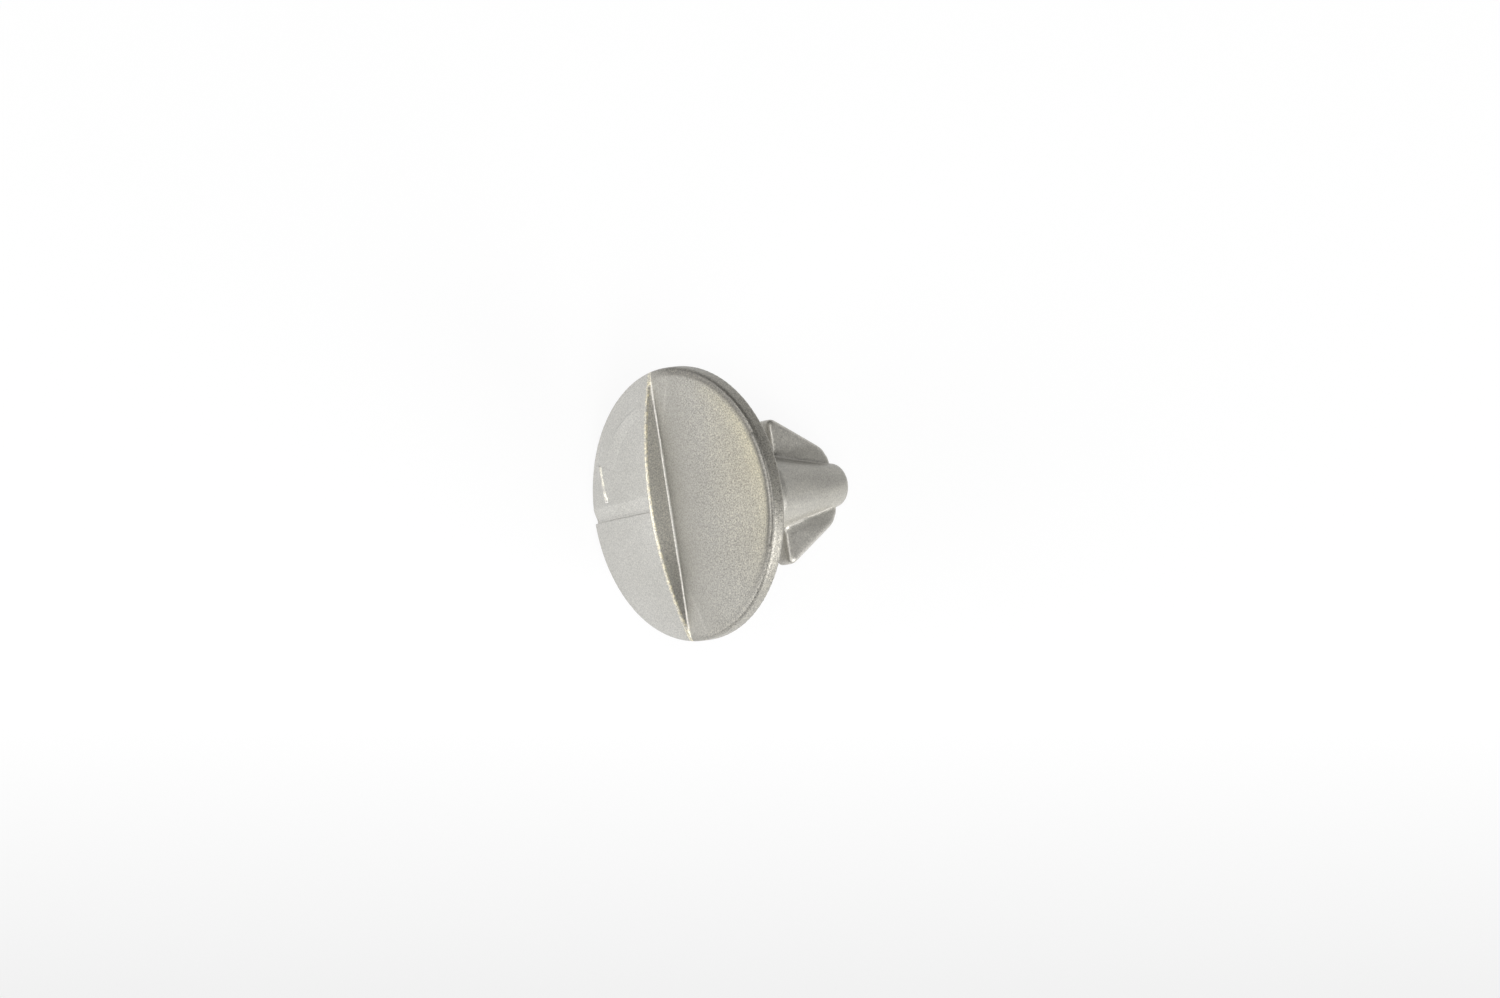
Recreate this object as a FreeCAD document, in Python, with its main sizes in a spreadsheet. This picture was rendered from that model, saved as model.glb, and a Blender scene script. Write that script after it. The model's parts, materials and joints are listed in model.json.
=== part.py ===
import FreeCAD, Part
import math
import os
import Sketcher
from FreeCAD import Placement, Rotation, Vector

# Splash shield retainer: a one-piece quarter-turn fastener, cast in zinc alloy.
# The head is a round disc. One half of its front is flat and falls a little towards the rim,
# which stands up round it as a low lip. The other half is a low dome that ends in an upright
# thumb wall beside the middle. A stem behind the head carries two wings, which go through a
# slot in the shield and hold behind the frame after a quarter turn.
#
# Frame while modelling: the stem's axis is Z, z = 0 is the back of the head, which seats on
# the shield, and the front faces +Z. X crosses the head, with the flat half at +X and the
# dome at -X, and Y runs along the thumb wall and the wings. Lengths are millimetres.

# name, size, what it is
SIZES = [
    ("head_diameter", 28.0, "round head, across"),
    ("head_thickness", 1.65, "back of the head to its flat front beside the wall, and to the lip"),
    ("rim_rounding", 0.45, "front edge of the rim"),
    ("back_rounding", 0.2, "back edge of the rim"),
    ("face_slope", 0.8, "degrees that the flat front falls, from the wall to the rim"),
    ("lip_foot", 12.55, "axis to the lowest circle of the lip's inner slope"),
    ("lip_top", 13.4, "axis to the top of the lip's inner slope"),
    ("lip_depth", 0.25, "top of the lip to that lowest circle"),
    ("dome_rise", 2.55, "top of the dome above the flat front"),
    ("wall_offset", 1.82, "stem axis to the thumb wall"),
    ("wall_foot_rounding", 0.3, "corner between thumb wall and flat front"),
    ("crest_rounding", 0.3, "edge between thumb wall and dome, at its middle"),
    ("crest_fade", 12.2, "axis to where the crest's rounding has run out"),
    ("ramp_start", 5.75, "axis to the start of an end ramp, along the wall"),
    ("ramp_width", 2.7, "end ramp at the rim, away from the wall"),
    ("ramp_rise", 0.34, "end ramp at the rim, above the flat front"),
    ("ramp_root", 0.15, "end ramp's underside, below the flat front"),
    ("notch_depth", 0.38, "index notch below the dome"),
    ("notch_steep_side", 0.3, "axis to the steep side of the notch"),
    ("notch_floor", 0.35, "floor of the notch, across"),
    ("notch_slope", 1.15, "sloping side of the notch, across"),
    ("notch_setback", 0.5, "thumb wall to the start of the notch"),
    ("neck_diameter", 8.0, "stem where the shield's hole clears it"),
    ("neck_length", 9.1, "back of the head to the start of the taper"),
    ("neck_root_chamfer", 0.5, "corner between stem and head"),
    ("stem_length", 19.3, "back of the head to the tip"),
    ("tip_diameter", 4.3, "end of the taper, before its edge is rounded"),
    ("tip_rounding", 0.6, "edge at the tip"),
    ("tip_land", 1.3, "bare tip beyond the wings"),
    ("grip_length", 10.46, "back of the head to the wings' shoulders"),
    ("wing_span", 14.84, "outer edge of one wing to that of the other"),
    ("wing_thickness", 2.4, "wing plate"),
    ("wing_edge", 0.5, "straight outer edge of a wing, before rounding"),
    ("wing_end_span", 6.52, "wings across at their far end, before rounding"),
    ("wing_corner_rounding", 0.8, "corner between a wing's outer edge and its slope"),
    ("wing_end_rounding", 1.9, "corner at the far end of a wing's slope"),
    ("wing_edge_rounding", 0.4, "edges along a wing's outline"),
    ("stock", 1.0, "material outside the finished front, cut away"),
]

# The head's front, seen in a section through the axis
HEAD_RADIUS = "sizes.head_diameter / 2"
FACE = "sizes.head_thickness"
RIM_TOP = "sizes.head_thickness - sizes.rim_rounding"
RIM_CENTRE = "sizes.head_diameter / 2 - sizes.rim_rounding"
DOME_TOP = "sizes.head_thickness + sizes.dome_rise"
STOCK_RADIUS = "sizes.head_diameter / 2 + sizes.stock"
STOCK_TOP = "sizes.head_thickness + sizes.dome_rise + sizes.stock"
CLEAR_TOP = "sizes.head_thickness + sizes.dome_rise + 2 * sizes.stock"

# The dome's circle passes through the dome's top and touches the circle of the rim's rounding.
DOME_RADIUS = (
    "((sizes.head_diameter / 2 - sizes.rim_rounding) ^ 2"
    " + (sizes.dome_rise + sizes.rim_rounding) ^ 2 - sizes.rim_rounding ^ 2)"
    " / (2 * sizes.dome_rise)"
)
DOME_CENTRE = f"{DOME_TOP} - {DOME_RADIUS}"
REACH = f"{DOME_RADIUS} / ({DOME_RADIUS} - sizes.rim_rounding)"
TOUCH_RADIUS = f"({RIM_CENTRE}) * {REACH}"
TOUCH_HEIGHT = f"{DOME_CENTRE} + ({RIM_TOP} - ({DOME_CENTRE})) * {REACH}"

# The thumb wall stands on a chord of the dome, so its crest is an arc in the wall's plane.
WALL = "-sizes.wall_offset"
CREST_RADIUS = f"sqrt(({DOME_RADIUS}) ^ 2 - sizes.wall_offset ^ 2)"
CREST_TOP = f"{DOME_CENTRE} + {CREST_RADIUS}"
CREST_FALL = f"({CREST_RADIUS} - sqrt(({CREST_RADIUS}) ^ 2 - sizes.crest_fade ^ 2) - sizes.crest_rounding)"
SWEEP_RADIUS = f"(sizes.crest_fade ^ 2 + {CREST_FALL} ^ 2) / (2 * {CREST_FALL})"

ORIGIN = (-1, 1)
NEAR = 0.02
LEAST_CHANGE = 0.001


def make_sheet(doc):
    sheet = doc.addObject("Spreadsheet::Sheet", "sizes")
    for row, (name, size, meaning) in enumerate(SIZES, start=1):
        sheet.set(f"A{row}", meaning)
        sheet.set(f"B{row}", str(size))
        sheet.setAlias(f"B{row}", name)
    doc.recompute()
    return sheet


def size_of(expression):
    """The value in millimetres of an expression over the sheet's sizes."""
    return float(sheet.evalExpression(expression.replace("sizes.", "")))


def origin_plane(role):
    return next(plane for plane in body.Origin.OriginFeatures if plane.Role == role)


def new_sketch(name, role):
    sketch = body.newObject("Sketcher::SketchObject", name)
    sketch.AttachmentSupport = [(origin_plane(role), "")]
    sketch.MapMode = "FlatFace"
    return sketch


def bind(sketch, constraint, expression):
    index = sketch.addConstraint(constraint)
    sketch.setExpression(f"Constraints[{index}]", expression)


def pin_point(sketch, geometry, end, across, up):
    """Hold one end of a line or arc at two expressions, measured from the sketch's origin."""
    for direction, expression in (("DistanceX", across), ("DistanceY", up)):
        held = Sketcher.Constraint(direction, *ORIGIN, geometry, end, size_of(expression))
        bind(sketch, held, expression)


def arc_between(start, finish, centre):
    """The shorter arc, and whether it runs from start to finish."""
    first = math.atan2(start.y - centre.y, start.x - centre.x)
    last = math.atan2(finish.y - centre.y, finish.x - centre.x)
    forward = (last - first) % (2 * math.pi) < math.pi
    circle = Part.Circle(centre, Vector(0, 0, 1), start.distanceToPoint(centre))
    if forward:
        return Part.ArcOfCircle(circle, first, last), forward
    return Part.ArcOfCircle(circle, last, first), forward


def draw_outline(sketch, corners, arcs=None):
    """
    A closed outline through corners, given as pairs of expressions.
    arcs holds, for the corner where an arc starts, its centre and its radius.
    """
    arcs = arcs or {}
    points = [Vector(size_of(across), size_of(up), 0) for across, up in corners]
    ends = []
    for i, start in enumerate(points):
        finish = points[(i + 1) % len(points)]
        if i in arcs:
            across, up, _ = arcs[i]
            arc, forward = arc_between(start, finish, Vector(size_of(across), size_of(up), 0))
            geometry = sketch.addGeometry(arc, False)
            ends.append((geometry, 1, 2) if forward else (geometry, 2, 1))
        else:
            geometry = sketch.addGeometry(Part.LineSegment(start, finish), False)
            ends.append((geometry, 1, 2))
    for i, (geometry, first, last) in enumerate(ends):
        following, following_first, _ = ends[(i + 1) % len(ends)]
        sketch.addConstraint(Sketcher.Constraint("Coincident", geometry, last, following, following_first))
        pin_point(sketch, geometry, first, *corners[i])
    for i, (_, _, radius) in arcs.items():
        bind(sketch, Sketcher.Constraint("Radius", ends[i][0], size_of(radius)), radius)


def recompute_tip(feature):
    body.Tip = feature
    doc.recompute()
    if feature.Shape.isNull() or not feature.Shape.isValid():
        raise RuntimeError(f"{feature.Name} has no valid shape")


def finish_feature(feature, grows):
    """Recompute, and make sure that the feature changed the solid the right way."""
    before = feature.BaseFeature.Shape.Volume if feature.BaseFeature else 0.0
    recompute_tip(feature)
    change = feature.Shape.Volume - before
    if (change > 0) != grows or abs(change) < LEAST_CHANGE:
        raise RuntimeError(f"{feature.Name} changed the volume by {change:.4f}")


def middle(edge):
    return edge.valueAt((edge.FirstParameter + edge.LastParameter) / 2)


def dress_edges(kind, name, length, size, test):
    """Round or chamfer the edges that pass the test, and make sure that this added faces."""
    base = body.Tip
    chosen = [f"Edge{i}" for i, edge in enumerate(base.Shape.Edges, start=1) if test(edge)]
    dressed = body.newObject(kind, name)
    dressed.Base = (base, chosen)
    dressed.setExpression(length, size)
    recompute_tip(dressed)
    if len(dressed.Shape.Faces) <= len(base.Shape.Faces):
        raise RuntimeError(f"{name} left edges as they were")


def round_edges(name, radius, test):
    dress_edges("PartDesign::Fillet", name, "Radius", radius, test)


def chamfer_edges(name, size, test):
    dress_edges("PartDesign::Chamfer", name, "Size", size, test)


def circle_at(radius, height):
    """A test for the full circle of that radius at that height on the stem's axis."""
    def test(edge):
        if edge.Degenerated or not edge.Closed or not isinstance(edge.Curve, Part.Circle):
            return False
        return abs(edge.Curve.Radius - radius) < NEAR and abs(edge.Curve.Center.z - height) < NEAR
    return test


def add_head_stock():
    """A plain disc, a little higher than the dome."""
    sketch = new_sketch("head_circle", "XY_Plane")
    circle = Part.Circle(Vector(0, 0, 0), Vector(0, 0, 1), size_of(HEAD_RADIUS))
    geometry = sketch.addGeometry(circle, False)
    sketch.addConstraint(Sketcher.Constraint("Coincident", geometry, 3, *ORIGIN))
    bind(sketch, Sketcher.Constraint("Radius", geometry, circle.Radius), HEAD_RADIUS)
    pad = body.newObject("PartDesign::Pad", "head_stock")
    pad.Profile = sketch
    pad.setExpression("Length", STOCK_TOP)
    finish_feature(pad, True)


def cut_flat_half():
    """Clear the flat half down to its face, up to the thumb wall with its rounded foot."""
    foot_side = f"{WALL} + sizes.wall_foot_rounding"
    foot_top = f"{FACE} + sizes.wall_foot_rounding"
    far_height = f"{FACE} - ({STOCK_RADIUS} - ({foot_side})) * tan(sizes.face_slope)"
    sketch = new_sketch("flat_half_section", "XZ_Plane")
    draw_outline(
        sketch,
        [(foot_side, FACE), (STOCK_RADIUS, far_height), (STOCK_RADIUS, CLEAR_TOP), (WALL, CLEAR_TOP),
         (WALL, foot_top)],
        {4: (foot_side, foot_top, "sizes.wall_foot_rounding")})
    pocket = body.newObject("PartDesign::Pocket", "flat_half")
    pocket.Profile = sketch
    pocket.Midplane = True
    pocket.setExpression("Length", f"2 * ({STOCK_RADIUS})")
    finish_feature(pocket, False)


def add_end_ramps():
    """A low ramp at each end of the wall's foot, rising from a point on the foot to the rim."""
    inside = f"{WALL} - sizes.ramp_rise"
    ramp_top = f"{FACE} + sizes.ramp_rise"
    root = f"{FACE} - sizes.ramp_root"
    root_side = f"{WALL} + sizes.ramp_width * (sizes.ramp_rise + sizes.ramp_root) / sizes.ramp_rise"
    at_rim = new_sketch("ramp_at_rim", "XZ_Plane")
    at_rim.AttachmentOffset = Placement(Vector(0, 0, -size_of(HEAD_RADIUS)), Rotation())
    at_rim.setExpression("AttachmentOffset.Base.z", f"-({HEAD_RADIUS})")
    draw_outline(at_rim, [(inside, root), (root_side, root), (WALL, ramp_top), (inside, ramp_top)])
    start = new_sketch("ramp_start_point", "XZ_Plane")
    start.AttachmentOffset = Placement(Vector(0, 0, -size_of("sizes.ramp_start")), Rotation())
    start.setExpression("AttachmentOffset.Base.z", "-sizes.ramp_start")
    point = start.addGeometry(Part.Point(Vector(size_of(WALL), size_of(FACE), 0)), False)
    pin_point(start, point, 1, WALL, FACE)
    ramp = body.newObject("PartDesign::AdditiveLoft", "end_ramp")
    ramp.Profile = at_rim
    ramp.Sections = [start]
    ramp.Ruled = True
    finish_feature(ramp, True)
    ramps = body.newObject("PartDesign::Mirrored", "end_ramps")
    ramps.Originals = [ramp]
    ramps.MirrorPlane = (origin_plane("XZ_Plane"), [""])
    finish_feature(ramps, True)


def add_rim_lip():
    """The lip round the flat half. On the other half it lies inside the stock for the dome."""
    middle_height = f"{FACE} / 2"
    sketch = new_sketch("lip_section", "XZ_Plane")
    draw_outline(sketch, [
        ("sizes.lip_foot", middle_height), (HEAD_RADIUS, middle_height), (HEAD_RADIUS, FACE),
        ("sizes.lip_top", FACE), ("sizes.lip_foot", f"{FACE} - sizes.lip_depth")])
    lip = body.newObject("PartDesign::Revolution", "rim_lip")
    lip.Profile = sketch
    lip.ReferenceAxis = (sketch, ["V_Axis"])
    lip.Angle = 360.0
    finish_feature(lip, True)


def cut_front_form():
    """Turn the stock down to the dome and the rounded rim."""
    sketch = new_sketch("front_section", "XZ_Plane")
    draw_outline(
        sketch,
        [("0", DOME_TOP), (TOUCH_RADIUS, TOUCH_HEIGHT), (HEAD_RADIUS, RIM_TOP), (STOCK_RADIUS, RIM_TOP),
         (STOCK_RADIUS, CLEAR_TOP), ("0", CLEAR_TOP)],
        {0: ("0", DOME_CENTRE, DOME_RADIUS), 1: (RIM_CENTRE, RIM_TOP, "sizes.rim_rounding")})
    groove = body.newObject("PartDesign::Groove", "front_form")
    groove.Profile = sketch
    groove.ReferenceAxis = (sketch, ["V_Axis"])
    groove.Angle = 360.0
    finish_feature(groove, False)


def round_crest():
    """
    Round the edge between wall and dome with a cutter swept along the crest.
    Its sweep is a little flatter than the crest, so the rounding runs out before the rim.
    """
    sketch = new_sketch("crest_section", "XZ_Plane")
    sweep_centre = f"{CREST_TOP} - {SWEEP_RADIUS}"
    sketch.AttachmentOffset = Placement(Vector(0, size_of(sweep_centre), 0), Rotation())
    sketch.setExpression("AttachmentOffset.Base.y", sweep_centre)
    back = f"{WALL} - sizes.crest_rounding"
    front = f"{WALL} + sizes.stock"
    low = f"{SWEEP_RADIUS} - sizes.crest_rounding"
    high = f"{SWEEP_RADIUS} + sizes.stock"
    draw_outline(
        sketch,
        [(back, SWEEP_RADIUS), (WALL, low), (front, low), (front, high), (back, high)],
        {0: (back, low, "sizes.crest_rounding")})
    groove = body.newObject("PartDesign::Groove", "crest_rounding")
    groove.Profile = sketch
    groove.ReferenceAxis = (sketch, ["H_Axis"])
    groove.Midplane = True
    groove.setExpression("Angle", f"2 * asin(({HEAD_RADIUS}) / ({SWEEP_RADIUS}))")
    finish_feature(groove, False)


def cut_index_notch():
    """A ratchet-shaped notch over the dome, square to the wall, of one depth out to the rim."""
    start_angle = f"asin((sizes.wall_offset + sizes.notch_setback) / ({DOME_RADIUS}))"
    sketch = new_sketch("notch_section", "YZ_Plane")
    sketch.AttachmentOffset = Placement(Vector(0, size_of(DOME_CENTRE), 0), Rotation(Vector(1, 0, 0), -1))
    sketch.setExpression("AttachmentOffset.Base.y", DOME_CENTRE)
    sketch.setExpression("AttachmentOffset.Rotation.Angle", f"-{start_angle}")
    floor = f"{DOME_RADIUS} - sizes.notch_depth"
    above = f"{DOME_RADIUS} + sizes.notch_depth"
    steep = "-sizes.notch_steep_side"
    floor_end = "sizes.notch_floor - sizes.notch_steep_side"
    draw_outline(sketch, [
        (steep, floor), (floor_end, floor), (f"{floor_end} + 2 * sizes.notch_slope", above), (steep, above)])
    groove = body.newObject("PartDesign::Groove", "index_notch")
    groove.Profile = sketch
    groove.ReferenceAxis = (sketch, ["H_Axis"])
    groove.setExpression("Angle", f"asin(({STOCK_RADIUS}) / ({DOME_RADIUS})) - {start_angle}")
    groove.Reversed = True
    finish_feature(groove, False)


def add_wings():
    """Both wings, as one plate on the axis. The stem then joins it to the head."""
    half = "sizes.wing_span / 2"
    end_half = "sizes.wing_end_span / 2"
    shoulder = "-sizes.grip_length"
    edge_end = f"{shoulder} - sizes.wing_edge"
    wing_end = "-sizes.stem_length + sizes.tip_land"
    sketch = new_sketch("wing_outline", "YZ_Plane")
    draw_outline(sketch, [
        (half, shoulder), (half, edge_end), (end_half, wing_end),
        (f"-{end_half}", wing_end), (f"-{half}", edge_end), (f"-{half}", shoulder)])
    pad = body.newObject("PartDesign::Pad", "wings")
    pad.Profile = sketch
    pad.Midplane = True
    pad.setExpression("Length", "sizes.wing_thickness")
    finish_feature(pad, True)

    def corner_at(across, up):
        def test(edge):
            point = middle(edge)
            return abs(abs(point.y) - size_of(across)) < NEAR and abs(point.z - size_of(up)) < NEAR
        return test

    round_edges("wing_corners", "sizes.wing_corner_rounding", corner_at(half, edge_end))
    round_edges("wing_ends", "sizes.wing_end_rounding", corner_at(end_half, wing_end))

    face = size_of("sizes.wing_thickness / 2")

    def on_outline(edge):
        return all(abs(abs(vertex.X) - face) < NEAR for vertex in edge.Vertexes) and middle(edge).z < 0

    round_edges("wing_edges", "sizes.wing_edge_rounding", on_outline)


def add_stem():
    """The round neck behind the head, and the taper down to the tip."""
    neck = "sizes.neck_diameter / 2"
    tip = "sizes.tip_diameter / 2"
    sketch = new_sketch("stem_section", "XZ_Plane")
    draw_outline(sketch, [
        ("0", "0"), ("0", "-sizes.stem_length"), (tip, "-sizes.stem_length"), (neck, "-sizes.neck_length"),
        (neck, "0")])
    stem = body.newObject("PartDesign::Revolution", "stem")
    stem.Profile = sketch
    stem.ReferenceAxis = (sketch, ["V_Axis"])
    stem.Angle = 360.0
    finish_feature(stem, True)
    round_edges("tip_edge", "sizes.tip_rounding", circle_at(size_of(tip), -size_of("sizes.stem_length")))
    chamfer_edges("neck_root", "sizes.neck_root_chamfer", circle_at(size_of(neck), 0))
    round_edges("back_edge", "sizes.back_rounding", circle_at(size_of(HEAD_RADIUS), 0))


def rest_placement():
    """
    Lay the part down as it comes to rest: on the rim's back edge and on the tip, dome side
    down. The floor touches both roundings, so the tilt follows from where their centres are.
    The origin is then on the floor, under the middle of the part's bounding box.
    """
    rim_rounding = size_of("sizes.back_rounding")
    tip_rounding = size_of("sizes.tip_rounding")
    taper = math.atan2(size_of("sizes.neck_diameter / 2 - sizes.tip_diameter / 2"),
                       size_of("sizes.stem_length - sizes.neck_length"))
    tip_out = (size_of("sizes.tip_diameter / 2") + tip_rounding * math.tan(taper)
               - tip_rounding / math.cos(taper))
    apart_out = size_of(HEAD_RADIUS) - rim_rounding - tip_out
    apart_along = size_of("sizes.stem_length + sizes.back_rounding") - tip_rounding
    span = math.hypot(apart_out, apart_along)
    tilt = math.acos((tip_rounding - rim_rounding) / span) - math.atan2(apart_along, apart_out)
    turned = Placement(Vector(0, 0, 0), Rotation(Vector(0, 1, 0), math.degrees(tilt) - 90))
    lying = body.Tip.Shape.copy()
    lying.Placement = turned
    box = lying.optimalBoundingBox(False)
    return Placement(Vector(-box.Center.x, -box.Center.y, -box.ZMin), turned.Rotation)


def check_document():
    for item in doc.Objects:
        if {"Invalid", "Error"} & set(item.State):
            raise RuntimeError(f"{item.Name} is {item.State}")
    if body.Shape.isNull() or not body.Shape.isValid() or len(body.Shape.Solids) != 1:
        raise RuntimeError("the retainer is not one valid solid")


doc = FreeCAD.newDocument("splash_shield_retainer")
sheet = make_sheet(doc)
body = doc.addObject("PartDesign::Body", "retainer")
body.Label = "retainer"
body.AllowCompound = True

add_head_stock()
cut_flat_half()
add_end_ramps()
add_rim_lip()
cut_front_form()
round_crest()
cut_index_notch()
add_wings()
add_stem()

body.Placement = rest_placement()
doc.recompute()
check_document()
os.makedirs("parts", exist_ok=True)
body.Shape.exportStep("parts/retainer.step")
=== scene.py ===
"""
Splash shield retainer: the looks of one matte zinc die casting that lies on a white table.

The casting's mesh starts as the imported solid. It gets the turning arrow on its dome and the soft
edges and uneven skin of a die casting, and it stands for the solid. It is shaped in the part's own
frame: X across the head, with the flat half at +X and the dome at -X, Y along the thumb wall and
the wings, and Z out of the front. Z is 0 at the back of the head.
"""
import functools
import json
import math

import bmesh
import bpy
from mathutils import Matrix, Vector


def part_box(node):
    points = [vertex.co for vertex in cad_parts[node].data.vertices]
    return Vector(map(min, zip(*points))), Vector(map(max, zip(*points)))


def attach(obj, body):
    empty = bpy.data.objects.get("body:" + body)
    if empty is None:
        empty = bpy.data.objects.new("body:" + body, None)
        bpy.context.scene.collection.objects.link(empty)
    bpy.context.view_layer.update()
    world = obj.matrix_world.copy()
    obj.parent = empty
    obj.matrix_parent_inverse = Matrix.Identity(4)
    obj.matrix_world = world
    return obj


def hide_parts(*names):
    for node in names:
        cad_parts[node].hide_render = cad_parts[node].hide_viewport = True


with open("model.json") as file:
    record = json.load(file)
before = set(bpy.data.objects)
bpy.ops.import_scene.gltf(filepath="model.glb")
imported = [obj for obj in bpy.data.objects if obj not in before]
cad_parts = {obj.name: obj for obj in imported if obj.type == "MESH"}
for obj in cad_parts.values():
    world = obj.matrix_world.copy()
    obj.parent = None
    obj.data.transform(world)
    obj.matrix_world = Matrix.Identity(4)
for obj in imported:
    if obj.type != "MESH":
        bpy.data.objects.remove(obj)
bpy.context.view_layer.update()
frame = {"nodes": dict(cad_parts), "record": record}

MM = 0.001

# The head's front, and the stem's taper
FACE_HEIGHT = 1.65 * MM
FACE_FALL = math.tan(math.radians(0.8))
RIM_TOP_HEIGHT = 1.2 * MM
WALL_SIDE = -1.8 * MM
DOME_RADIUS = 37.725 * MM
DOME_CENTRE_HEIGHT = 4.2 * MM - DOME_RADIUS
TAPER_SLOPE = 0.181
TAPER_RADIUS_AT_HEAD = 5.65 * MM

# The turning arrow on the dome. Angles are about the stem's axis, from across the flat half.
SHAFT_START = math.radians(104)
SHAFT_END = math.radians(151)
SHAFT_OUTER = 11.0 * MM
SHAFT_INNER_AT_START = 10.2 * MM
SHAFT_INNER_AT_END = 9.2 * MM
SHAFT_RISEN_BY = 0.4
SHAFT_FLANK = 0.55 * MM
SHAFT_STEPS = 24
OUTER_BARB = (12.7 * MM, math.radians(154.3))
INNER_BARB = (8.1 * MM, math.radians(148.9))
ARROW_POINT = (10.7 * MM, math.radians(171.5))
HEAD_BUILT_TO = 0.97
HEAD_FLANK = 0.9 * MM
HEAD_STEPS = 16
INNER_RELIEF = 0.03 * MM
SHAFT_OUTER_RELIEF = 0.24 * MM
HEAD_OUTER_RELIEF = 0.12 * MM
BEAD_INSET = 0.48 * MM
BEAD_WIDTH = 0.36 * MM
BEAD_RISE = 0.28 * MM
BAR_STEPS = 8
BAR_ROOT = 0.15 * MM

# The casting's mesh, and the stretches of it that are lowered, grown or softened
VOXEL = 0.08 * MM
WELD_DISTANCE = 0.0001 * MM
SKIN_TRIANGLES = 190_000
SMOOTHING_FACTOR = 0.5
SKIN_SMOOTHING = 2
RAMP_START = 5.75 * MM
RAMP_DROP = 0.7
RAMP_FADE = 0.12 * MM
LIP_INSIDE = 12.0 * MM
LIP_LOW = 1.0 * MM
LIP_SMOOTHING = 14
SOFT_STEM_TOP = -2.0 * MM
STEM_SMOOTHING = 20
WING_SHOULDER = -10.0 * MM
WING_ROOT = 3.0 * MM
WING_SMOOTHING = 110
WING_GROWTH_ALONG = 0.32 * MM
WING_GROWTH_ACROSS = 0.12 * MM
WING_GROWTH_FADE = 1.0 * MM

# Regions of the skin. Each limit names a measure, where the region starts along it, and where it
# is full, in millimetres. measure_skin says what the measures are.
FRONT = [("z", 0.9, 1.4)]
DOME = FRONT + [("x", -1.6, -2.0)]
# Painted light: the notch's sloping side is painted lighter
NOTCH_SLOPE = DOME + [("x", -2.2, -2.4), ("y", 0.0, 0.12), ("y", 1.3, 1.15)]
# The bead and the crest take painted highlights; the crest also sets coarse grain
BEAD = DOME + [("from_barbs", 0.44, 0.54), ("from_barbs", 0.84, 0.74), ("y", 1.7, 1.85), ("y", 5.35, 5.2)]
CREST = FRONT + [("x", -2.2, -2.05), ("x", -1.6, -1.75), ("depth", 0.3, 0.18)]
WALL = [("x", -1.95, -1.88), ("x", -1.74, -1.78), ("z", 1.75, 1.9), ("depth", 0.15, 0.3)]
# Painted shade: the lower end of the wall is painted darker
PAINTED_SHADE_LOW_WALL = WALL + [("y", -3.0, -9.0)]
# Painted highlight: a bright line along the fillet at the foot of the wall
PAINTED_FOOT_HIGHLIGHT = [("x", -1.8, -1.74), ("x", -1.64, -1.7), ("z", 1.4, 1.5), ("z", 2.0, 1.9)]
FLAT_HALF = [("x", -1.75, -1.65), ("z", 1.2, 1.35)]
FLAT_FACE = [("x", -0.5, 3.0), ("z", 1.2, 1.35), ("radius", 13.5, 13.1)]
GRAINY_FACE = FLAT_FACE + [("x", -5.0, 7.0)]
# Painted highlight: the flat face is painted warmer and lighter towards its rim, with a paler band just
# inside it
WARM_HIGHLIT_FACE = FLAT_FACE + [("x", 4.0, 11.0), ("y", -11.0, 2.0)]
PAINTED_HIGHLIGHT_BAND = WARM_HIGHLIT_FACE + [("radius", 10.8, 12.4), ("radius", 12.95, 12.75)]
FLAT_RIM = [("x", -1.5, 1.5), ("radius", 13.0, 13.4)]
# Painted shade: the rim's rounding and side are painted darker along this stretch of the flat half's rim
UPPER_RIM = [("x", -1.5, 1.5), ("y", -10.5, -5.0)]
PAINTED_SHADE_LIP = UPPER_RIM + [("radius", 13.0, 13.3), ("radius", 13.99, 13.85), ("z", 0.5, 0.9)]
PAINTED_SHADE_SIDE = UPPER_RIM + [("radius", 13.8, 14.0)]
SHANK = [("z", -0.3, -0.8)]
ROUND_SHANK = SHANK + [("past_taper", 0.1, -0.1)]
# Painted shade on the shank's upper side and painted light on its lower side
PAINTED_SHADE_UPPER_SHANK = ROUND_SHANK + [("y", 1.6, 3.6)]
PAINTED_LIGHT_LOWER_SHANK = ROUND_SHANK + [("y", -1.2, -3.4)]
WINGS = [("z", -2.0, -3.0), ("aside", 3.9, 4.6)]

# What a region's tone is multiplied by. Several are painted highlights and painted shade, marked below.
TINTS = [
    (FLAT_HALF, (0.9, 0.9, 0.91)),
    (WINGS, (1.26, 1.26, 1.27)),
    (SHANK, (1.06, 1.06, 1.06)),
    # Painted light on the notch's sloping side
    (NOTCH_SLOPE, (1.12, 1.12, 1.12)),
    # Painted warm highlight on the flat face, and a painted highlight band inside the rim
    (WARM_HIGHLIT_FACE, (1.14, 1.11, 1.01)),
    (PAINTED_HIGHLIGHT_BAND, (1.13, 1.12, 1.06)),
    # Painted shade on the rim's rounding and side
    (PAINTED_SHADE_LIP, (0.58, 0.575, 0.57)),
    (PAINTED_SHADE_SIDE, (0.8, 0.795, 0.79)),
    # Painted highlight line at the wall's foot
    (PAINTED_FOOT_HIGHLIGHT, (1.6, 1.6, 1.6)),
    (WALL, (1.12, 1.12, 1.12)),
    # Painted shade on the lower end of the wall
    (PAINTED_SHADE_LOW_WALL, (0.66, 0.66, 0.67)),
    # Painted light on the lower side of the shank, and painted shade on its upper side
    (PAINTED_LIGHT_LOWER_SHANK, (1.3, 1.3, 1.29)),
    (PAINTED_SHADE_UPPER_SHANK, (0.84, 0.84, 0.85)),
]
DRAG_LINE_TINTS = [(SHANK, (0.87, 0.87, 0.88))]
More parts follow.
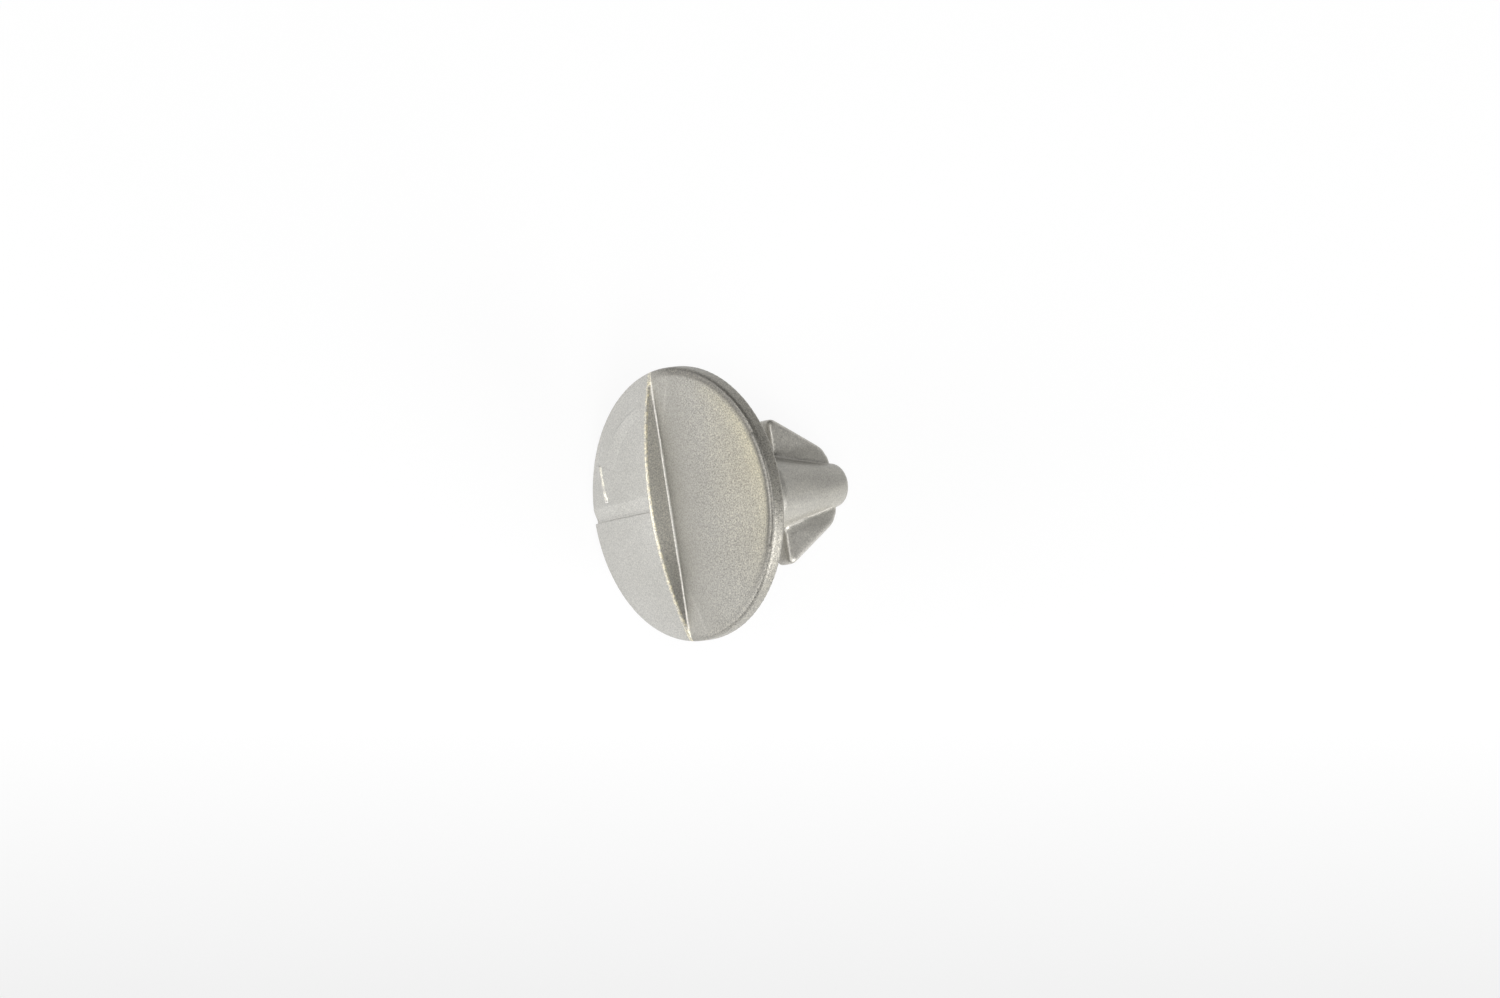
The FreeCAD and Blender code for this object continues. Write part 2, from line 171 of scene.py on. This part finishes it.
# Painted highlights on the wall's crest and the bead along the arrowhead's outer edge, broken into spots
PAINTED_HIGHLIGHT_TINTS = [(CREST, (1.4, 1.33, 1.12)), (BEAD, (1.75, 1.72, 1.6))]

# How coarse a region's grain is, from 0 to 1
COARSENESS = [(GRAINY_FACE, 1.0), (CREST, 1.0), (FLAT_RIM, 1.0), (WALL, 0.7)]
LEAST_COARSENESS = 0.22

# Noises of the skin: cycles in a metre, detail, and roughness
GRAIN = (6500.0, 2.0, 0.6)
SAND = (2600.0, 2.0, 0.5)
# The noise that breaks the painted highlights into spots
PAINTED_HIGHLIGHT_NOISE = (2200.0, 2.0, 0.5)
DRAG_LINES = (700.0, 3.0, 0.5)
DRAG_LINE_SQUEEZE = 0.07
CLOUDS = (120.0, 3.0, 0.5)

# Colours by the value of the noise that they follow
BODY_TONES = [(0.35, (0.378, 0.365, 0.329)), (0.65, (0.409, 0.397, 0.362))]
DOME_TONES = [(0.35, (0.488, 0.48, 0.452)), (0.65, (0.528, 0.519, 0.493))]
FINE_SPECKS = [(0.3, (0.85, 0.85, 0.84)), (0.5, (1.0, 1.0, 1.0)), (0.7, (1.16, 1.16, 1.15))]
COARSE_SPECKS = [(0.3, (0.6, 0.6, 0.59)), (0.5, (1.0, 1.0, 1.0)), (0.7, (1.5, 1.48, 1.38))]
PAINTED_HIGHLIGHT_SPOTS = [(0.4, (0.25, 0.25, 0.25)), (0.58, (1.0, 1.0, 1.0))]
DRAWN_STREAKS = [(0.35, (0.0, 0.0, 0.0)), (0.65, (1.0, 1.0, 1.0))]
MATTE = [(0.3, (0.34, 0.34, 0.34)), (0.7, (0.46, 0.46, 0.46))]

METALLIC = 0.6
SAND_DEPTH = 0.01 * MM
GRAIN_DEPTH = 0.02 * MM
FINE_GRAIN_SHARE = 0.3

# The photograph's camera: a long lens that looks at the head from its flat side
IMAGE_WIDTH = 1500
IMAGE_HEIGHT = 998
LENS_MM = 800
SENSOR_MM = 36
NEAREST_SHOWN = 0.01
HEAD_RADIUS_PIXELS = 137.88
HEAD_CENTRE_PIXEL = (684.86, 504.10)
STEM_TO_VIEW = math.radians(49.16)
IMAGE_TILT = math.radians(7.24)
WALL_TURN = math.radians(2.44)

# The table, whose glow is painted dimmer towards the image's lower edge: a painted fall-off of light
TABLE_HALF = 1.5
TABLE_TONE = (0.9, 0.9, 0.9, 1.0)
TABLE_ROUGHNESS = 0.9
TABLE_GLOW = 0.9
WHITE = (1.0, 1.0, 1.0, 1.0)
WHITE_FROM = -22 * MM
GREY_FROM = -56 * MM
GREY_STRENGTH = 0.83

# The room's light, and the lamps: name, place, watts
ROOM_STRENGTH = 0.08
SOFTBOX_SIZE = 0.35
LIGHT_AIM = Vector((0.0, 0.0, 0.01))
SOFTBOXES = [
    ("overhead_softbox", (-0.05, 0.0, 0.6), 1.2),
    ("high_front_softbox", (0.0, -0.36, 0.45), 1.1),
    ("right_front_softbox", (0.36, -0.36, 0.25), 2.6),
    ("left_softbox", (-0.5, 0.0, 0.25), 1.5),
    ("low_left_softbox", (-0.55, 0.0, 0.07), 0.7),
]


def part_frame():
    """The part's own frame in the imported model, read from its two mounts."""
    mounts = {mount["name"]: mount for mount in frame["record"]["mounts"]}
    front = -Vector(mounts["head_back"]["axis"]).normalized()
    on_back = Vector(mounts["head_back"]["pos_m"])
    on_axis = Vector(mounts["neck_and_wings"]["pos_m"])
    centre = on_axis + front * front.dot(on_back - on_axis)
    across = (on_back - centre).normalized()
    along = front.cross(across)
    axes = Matrix((across, along, front)).transposed()
    return Matrix.Translation(centre) @ axes.to_4x4()


PART = part_frame()
HEAD_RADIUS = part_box("retainer")[1].y


def dome_height(radius):
    """Height of the dome above the back of the head."""
    return DOME_CENTRE_HEIGHT + math.sqrt(DOME_RADIUS ** 2 - radius ** 2)


def polar(radius, angle):
    return Vector((radius * math.cos(angle), radius * math.sin(angle)))


def mixed(first, second, part):
    return first + (second - first) * part


def clamped(value):
    """value, kept from 0 to 1."""
    return min(1.0, max(0.0, value))


def add_arrow(mesh):
    """The turning arrow, as closed bars sunk into the dome."""
    faces_before = len(mesh.faces)
    add_shaft(mesh)
    add_arrowhead(mesh)
    mesh.faces.ensure_lookup_table()
    bmesh.ops.recalc_face_normals(mesh, faces=mesh.faces[faces_before:])


def add_shaft(mesh):
    """The curved bar, which rises out of the dome towards the arrowhead."""
    sections = []
    for step in range(SHAFT_STEPS + 1):
        part = step / SHAFT_STEPS
        angle = mixed(SHAFT_START, SHAFT_END, part)
        inner = mixed(SHAFT_INNER_AT_START, SHAFT_INNER_AT_END, part)
        rise = clamped(part / SHAFT_RISEN_BY)
        reliefs = (INNER_RELIEF * rise, SHAFT_OUTER_RELIEF * rise)
        sections.append((polar(inner, angle), polar(SHAFT_OUTER, angle), *reliefs))
    add_bar(mesh, sections, SHAFT_FLANK)


def add_arrowhead(mesh):
    """A flat triangle, and the bead along its outer edge."""
    inner_barb, outer_barb, point = polar(*INNER_BARB), polar(*OUTER_BARB), polar(*ARROW_POINT)
    triangle, bead = [], []
    for step in range(HEAD_STEPS + 1):
        part = HEAD_BUILT_TO * step / HEAD_STEPS
        inner, outer = mixed(inner_barb, point, part), mixed(outer_barb, point, part)
        inward = (inner - outer).normalized()
        triangle.append((inner, outer, INNER_RELIEF, HEAD_OUTER_RELIEF))
        crest = outer + inward * BEAD_INSET
        bead.append((crest + inward * BEAD_WIDTH, crest, 0.0, BEAD_RISE))
    add_bar(mesh, triangle, HEAD_FLANK)
    add_bar(mesh, bead, HEAD_FLANK)


def add_bar(mesh, sections, flank_width):
    """A closed bar. A section is its inner and outer end, and the relief at each."""
    loops = []
    for inner, outer, inner_relief, outer_relief in sections:
        flank = (outer - inner).normalized() * flank_width
        loop = []
        for step in range(BAR_STEPS + 1):
            part = step / BAR_STEPS
            point = mixed(inner, outer, part)
            relief = mixed(inner_relief, outer_relief, part)
            loop.append(mesh.verts.new((*point, dome_height(point.length) + relief)))
        for step in reversed(range(BAR_STEPS + 1)):
            point = mixed(inner - flank, outer + flank, step / BAR_STEPS)
            loop.append(mesh.verts.new((*point, dome_height(point.length) - BAR_ROOT)))
        loops.append(loop)
    for first, second in zip(loops, loops[1:]):
        for i in range(len(first)):
            mesh.faces.new((first[i - 1], first[i], second[i], second[i - 1]))
    mesh.faces.new(loops[0])
    mesh.faces.new(loops[-1])


def apply_modifiers(piece):
    graph = bpy.context.evaluated_depsgraph_get()
    data = bpy.data.meshes.new_from_object(piece.evaluated_get(graph))
    piece.modifiers.clear()
    piece.data = data


def smooth(casting, name, passes):
    modifier = casting.modifiers.new(name, "SMOOTH")
    modifier.factor = SMOOTHING_FACTOR
    modifier.iterations = passes
    return modifier


def soften(casting, name, is_inside, passes):
    """Round off the skin where is_inside(place) holds."""
    group = casting.vertex_groups.new(name=name)
    chosen = [vertex.index for vertex in casting.data.vertices if is_inside(vertex.co)]
    group.add(chosen, 1.0, "REPLACE")
    smooth(casting, name, passes).vertex_group = name
    apply_modifiers(casting)
    casting.vertex_groups.clear()


def on_lip(place):
    return place.x > 0 and place.z > LIP_LOW and place.xy.length > LIP_INSIDE


def on_stem(place):
    return place.z < SOFT_STEM_TOP


def on_wing(place):
    return place.z < WING_SHOULDER and abs(place.y) > WING_ROOT


def lower_end_ramps(mesh):
    """Let the ramps beside the wall's ends rise less, so the wall reaches nearly to the rim."""
    for vertex in mesh.vertices:
        x, y, z = vertex.co
        face = FACE_HEIGHT - max(0.0, x) * FACE_FALL
        clear_of_wall = clamped((x - WALL_SIDE) / RAMP_FADE)
        if abs(y) > RAMP_START and z > face and clear_of_wall:
            vertex.co.z = z - (z - face) * RAMP_DROP * clear_of_wall


def grow_wings(mesh):
    """Allow for what softening takes off the wings."""
    for vertex in mesh.vertices:
        x, y, z = vertex.co
        if z < WING_SHOULDER:
            outward = clamped((abs(y) - WING_ROOT) / WING_GROWTH_FADE)
            share = outward * clamped((WING_SHOULDER - z) / WING_GROWTH_FADE)
            vertex.co.y = y + math.copysign(WING_GROWTH_ACROSS * share, y)
            vertex.co.z = z - WING_GROWTH_ALONG * share


def build_casting():
    """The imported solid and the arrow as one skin, with the soft edges that a die leaves."""
    casting = frame["nodes"]["retainer"].copy()
    casting.data = casting.data.copy()
    casting.name = "casting"
    casting.parent = None
    bpy.context.scene.collection.objects.link(casting)
    casting.data.transform(PART.inverted())
    mesh = bmesh.new()
    mesh.from_mesh(casting.data)
    add_arrow(mesh)
    bmesh.ops.remove_doubles(mesh, verts=mesh.verts, dist=WELD_DISTANCE)
    mesh.to_mesh(casting.data)
    mesh.free()

    skin = casting.modifiers.new("skin", "REMESH")
    skin.mode = "VOXEL"
    skin.voxel_size = VOXEL
    smooth(casting, "soft_edges", SKIN_SMOOTHING)
    apply_modifiers(casting)
    lower_end_ramps(casting.data)
    soften(casting, "lip", on_lip, LIP_SMOOTHING)
    grow_wings(casting.data)
    soften(casting, "stem", on_stem, STEM_SMOOTHING)
    soften(casting, "wings", on_wing, WING_SMOOTHING)

    triangles = sum(len(face.vertices) - 2 for face in casting.data.polygons)
    if triangles > SKIN_TRIANGLES:
        fewer = casting.modifiers.new("fewer_faces", "DECIMATE")
        fewer.ratio = SKIN_TRIANGLES / triangles
        apply_modifiers(casting)
    casting.data.transform(PART)
    for face in casting.data.polygons:
        face.use_smooth = True
    return casting


class Graph:
    """The nodes of one material. A value is a number, a colour or another node's output."""

    def __init__(self, name):
        self.material = bpy.data.materials.new(name)
        self.material.use_nodes = True
        self.nodes = self.material.node_tree.nodes
        self.shader = self.nodes["Principled BSDF"]
        self.place = self.add("ShaderNodeTexCoord").outputs["Object"]

    def add(self, kind, **settings):
        node = self.nodes.new(kind)
        for name, setting in settings.items():
            setattr(node, name, setting)
        return node

    def feed(self, socket, value):
        if isinstance(value, bpy.types.NodeSocket):
            self.material.node_tree.links.new(value, socket)
        else:
            socket.default_value = value

    def math(self, operation, *values):
        node = self.add("ShaderNodeMath", operation=operation)
        for socket, value in zip(node.inputs, values):
            self.feed(socket, value)
        return node.outputs["Value"]

    def times(self, first, second):
        return self.math("MULTIPLY", first, second)

    def distance_along(self, direction, start):
        node = self.add("ShaderNodeVectorMath", operation="DOT_PRODUCT")
        self.feed(node.inputs[0], self.place)
        self.feed(node.inputs[1], direction)
        return self.math("SUBTRACT", node.outputs["Value"], start.dot(direction))

    def noise(self, scale, detail, roughness, place=None):
        node = self.add("ShaderNodeTexNoise")
        self.feed(node.inputs["Vector"], place or self.place)
        self.feed(node.inputs["Scale"], scale)
        self.feed(node.inputs["Detail"], detail)
        self.feed(node.inputs["Roughness"], roughness)
        return node.outputs["Fac"]

    def ramp(self, source, stops):
        node = self.add("ShaderNodeValToRGB")
        self.feed(node.inputs["Fac"], source)
        elements = node.color_ramp.elements
        while len(elements) < len(stops):
            elements.new(0.5)
        for element, (position, color) in zip(elements, stops):
            element.position = position
            element.color = (*color, 1.0)
        return node.outputs["Color"]

    def mix(self, kind, amount, first, second):
        node = self.add("ShaderNodeMix", data_type="RGBA", blend_type=kind)
        self.feed(node.inputs["Factor"], amount)
        self.feed(node.inputs["A"], first)
        self.feed(node.inputs["B"], second)
        return node.outputs["Result"]

    def bump(self, height, distance, below=None):
        node = self.add("ShaderNodeBump")
        self.feed(node.inputs["Height"], height)
        self.feed(node.inputs["Distance"], distance)
        self.feed(node.inputs["Strength"], 1.0)
        if below:
            self.feed(node.inputs["Normal"], below)
        return node.outputs["Normal"]


def measure_skin(graph):
    """
    What the regions are measured by, in metres: x, y and z in the part's own frame, how far aside
    along the wings, the radius about the stem's axis, the depth below the dome's sphere, how far
    past the taper's side, and how far in from the line along the arrowhead's outer edge.
    """
    x, y, z = (graph.distance_along(axis, PART.translation) for axis in PART.to_3x3().col)
    aside = graph.math("ABSOLUTE", y)
    radius_squared = graph.math("MULTIPLY_ADD", x, x, graph.times(y, y))
    above_centre = graph.math("SUBTRACT", z, DOME_CENTRE_HEIGHT)
    from_centre = graph.math("SQRT", graph.math("MULTIPLY_ADD", above_centre, above_centre, radius_squared))
    taper_radius = graph.math("MULTIPLY_ADD", z, TAPER_SLOPE, TAPER_RADIUS_AT_HEAD)
    barb, point = polar(*OUTER_BARB), polar(*ARROW_POINT)
    inward = Vector((barb.y - point.y, point.x - barb.x)).normalized()
    across_barbs = graph.math("MULTIPLY_ADD", x, inward.x, graph.times(y, inward.y))
    return {
        "x": x,
        "y": y,
        "z": z,
        "aside": aside,
        "radius": graph.math("SQRT", radius_squared),
        "depth": graph.math("SUBTRACT", DOME_RADIUS, from_centre),
        "past_taper": graph.math("SUBTRACT", aside, taper_radius),
        "from_barbs": graph.math("SUBTRACT", across_barbs, inward.dot(barb)),
    }


def region_masks(graph, measures):
    """Gives the function that masks a region: 1 inside it and 0 outside."""
    @functools.cache
    def fade(measure, start, full):
        node = graph.add("ShaderNodeMapRange")
        graph.feed(node.inputs["Value"], measures[measure])
        graph.feed(node.inputs["From Min"], start * MM)
        graph.feed(node.inputs["From Max"], full * MM)
        return node.outputs["Result"]

    def mask(region):
        return functools.reduce(graph.times, (fade(*limit) for limit in region))

    return mask


def skin_tone(graph, measures, mask):
    """The casting's colour without its specks, with painted highlights and painted shade laid on by region.
    """
    clouds = graph.noise(*CLOUDS)
    tone = graph.mix("MIX", mask(DOME), graph.ramp(clouds, BODY_TONES), graph.ramp(clouds, DOME_TONES))

    def tint(amount, color):
        return graph.mix("MULTIPLY", amount, tone, (*color, 1.0))

    for region, color in TINTS:
        tone = tint(mask(region), color)
    drawn = graph.add("ShaderNodeCombineXYZ")
    graph.feed(drawn.inputs["X"], measures["x"])
    graph.feed(drawn.inputs["Y"], measures["y"])
    graph.feed(drawn.inputs["Z"], graph.times(measures["z"], DRAG_LINE_SQUEEZE))
    streaks = graph.ramp(graph.noise(*DRAG_LINES, drawn.outputs["Vector"]), DRAWN_STREAKS)
    for region, color in DRAG_LINE_TINTS:
        tone = tint(graph.times(mask(region), streaks), color)
    # Painted highlights on the crest and the bead, broken into spots
    highlight_spots = graph.ramp(graph.noise(*PAINTED_HIGHLIGHT_NOISE), PAINTED_HIGHLIGHT_SPOTS)
    for region, color in PAINTED_HIGHLIGHT_TINTS:
        tone = tint(graph.times(mask(region), highlight_spots), color)
    return tone


def cast_zinc():
    """
    Matte warm grey of an as-cast surface: sandy grain over slow cloudy patches.
    The dome is paler and smoother than the rest, and the flat half a little darker.
    The colour also carries painted highlights and painted shade, laid on by region.
    """
    graph = Graph("cast_zinc")
    measures = measure_skin(graph)
    mask = region_masks(graph, measures)
    grain = graph.noise(*GRAIN)
    sand = graph.noise(*SAND)
    coarseness = LEAST_COARSENESS
    for region, amount in COARSENESS:
        coarseness = graph.math("MAXIMUM", coarseness, graph.times(mask(region), amount))
    specks = graph.mix("MIX", coarseness, graph.ramp(grain, FINE_SPECKS), graph.ramp(grain, COARSE_SPECKS))
    grain_share = graph.math("MULTIPLY_ADD", coarseness, 1.0 - FINE_GRAIN_SHARE, FINE_GRAIN_SHARE)
    sandy = graph.bump(sand, SAND_DEPTH)

    inputs = graph.shader.inputs
    graph.feed(inputs["Base Color"], graph.mix("MULTIPLY", 1.0, skin_tone(graph, measures, mask), specks))
    graph.feed(inputs["Metallic"], METALLIC)
    graph.feed(inputs["Roughness"], graph.ramp(sand, MATTE))
    graph.feed(inputs["Normal"], graph.bump(graph.times(grain, grain_share), GRAIN_DEPTH, sandy))
    return graph.material


def white_table():
    """A pale matte surface that shows nearly white, and still keeps some of a shadow."""
    graph = Graph("white_table")
    graph.feed(graph.shader.inputs["Base Color"], TABLE_TONE)
    graph.feed(graph.shader.inputs["Roughness"], TABLE_ROUGHNESS)
    where = graph.add("ShaderNodeSeparateXYZ")
    graph.feed(where.inputs["Vector"], graph.place)
    # Painted fall-off of light: the glow dims towards the image's lower edge
    falloff = graph.add("ShaderNodeMapRange")
    graph.feed(falloff.inputs["Value"], where.outputs["Y"])
    graph.feed(falloff.inputs["From Min"], GREY_FROM)
    graph.feed(falloff.inputs["From Max"], WHITE_FROM)
    graph.feed(falloff.inputs["To Min"], GREY_STRENGTH)
    glow = graph.add("ShaderNodeEmission")
    graph.feed(glow.inputs["Color"], WHITE)
    graph.feed(glow.inputs["Strength"], falloff.outputs["Result"])
    surface = graph.add("ShaderNodeMixShader")
    graph.feed(surface.inputs["Fac"], graph.times(shown_rays(graph), TABLE_GLOW))
    graph.feed(surface.inputs[1], graph.shader.outputs["BSDF"])
    graph.feed(surface.inputs[2], glow.outputs["Emission"])
    graph.feed(graph.nodes["Material Output"].inputs["Surface"], surface.outputs["Shader"])
    return graph.material


def shown_rays(graph):
    """1 for rays from the camera, a reflection or glass, and 0 for the light on surfaces."""
    rays = graph.add("ShaderNodeLightPath").outputs
    seen = graph.math("MAXIMUM", rays["Is Camera Ray"], rays["Is Glossy Ray"])
    return graph.math("MAXIMUM", seen, rays["Is Transmission Ray"])


def build_floor():
    """The table, turned so that its own Y runs up the image."""
    mesh = bmesh.new()
    sides = ((-1, -1), (1, -1), (1, 1), (-1, 1))
    mesh.faces.new([mesh.verts.new((x * TABLE_HALF, y * TABLE_HALF, 0.0)) for x, y in sides])
    data = bpy.data.meshes.new("table")
    mesh.to_mesh(data)
    mesh.free()
    floor = bpy.data.objects.new("table", data)
    bpy.context.scene.collection.objects.link(floor)
    up = camera_axes()[1]
    floor.rotation_euler.z = math.atan2(up.y, up.x) - math.radians(90)
    floor.data.materials.append(white_table())


def light_world():
    world = bpy.data.worlds.new("soft_room")
    bpy.context.scene.world = world
    world.use_nodes = True
    room = world.node_tree.nodes["Background"]
    room.inputs["Color"].default_value = WHITE
    room.inputs["Strength"].default_value = ROOM_STRENGTH


def add_softbox(name, place, watts):
    """A square lamp that faces the casting."""
    lamp = bpy.data.lights.new(name, "AREA")
    lamp.size = SOFTBOX_SIZE
    lamp.energy = watts
    holder = bpy.data.objects.new(name, lamp)
    holder.location = place
    holder.rotation_mode = "QUATERNION"
    holder.rotation_quaternion = (LIGHT_AIM - Vector(place)).to_track_quat("-Z", "Y")
    bpy.context.scene.collection.objects.link(holder)


def camera_axes():
    """The camera's right, up and view directions, from how the head lies in the photograph."""
    across, along, front = PART.to_3x3().col
    stem = -front
    short = math.cos(WALL_TURN) * across - math.sin(WALL_TURN) * along
    long = math.cos(WALL_TURN) * along + math.sin(WALL_TURN) * across
    view = math.cos(STEM_TO_VIEW) * stem - math.sin(STEM_TO_VIEW) * short
    level = math.sin(STEM_TO_VIEW) * stem + math.cos(STEM_TO_VIEW) * short
    right = math.cos(IMAGE_TILT) * level - math.sin(IMAGE_TILT) * long
    up = math.sin(IMAGE_TILT) * level + math.cos(IMAGE_TILT) * long
    return right, up, view


def add_camera():
    right, up, view = camera_axes()
    pixel = HEAD_RADIUS / HEAD_RADIUS_PIXELS
    distance = LENS_MM / SENSOR_MM * IMAGE_WIDTH * pixel
    left_by = (IMAGE_WIDTH / 2 - HEAD_CENTRE_PIXEL[0]) * pixel
    down_by = (HEAD_CENTRE_PIXEL[1] - IMAGE_HEIGHT / 2) * pixel
    aim = PART @ Vector((0, 0, RIM_TOP_HEIGHT)) + right * left_by + up * down_by
    data = bpy.data.cameras.new("camera")
    data.lens = LENS_MM
    data.sensor_width = SENSOR_MM
    data.clip_start = NEAREST_SHOWN
    camera = bpy.data.objects.new("camera", data)
    turned = Matrix((right, up, -view)).transposed().to_4x4()
    camera.matrix_world = Matrix.Translation(aim - view * distance) @ turned
    bpy.context.scene.collection.objects.link(camera)
    bpy.context.scene.camera = camera


add_camera()
build_floor()
light_world()
for softbox in SOFTBOXES:
    add_softbox(*softbox)

casting = build_casting()
casting.data.materials.clear()
casting.data.materials.append(cast_zinc())
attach(casting, "root")
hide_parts("retainer")

bpy.context.scene.view_settings.view_transform = "Standard"
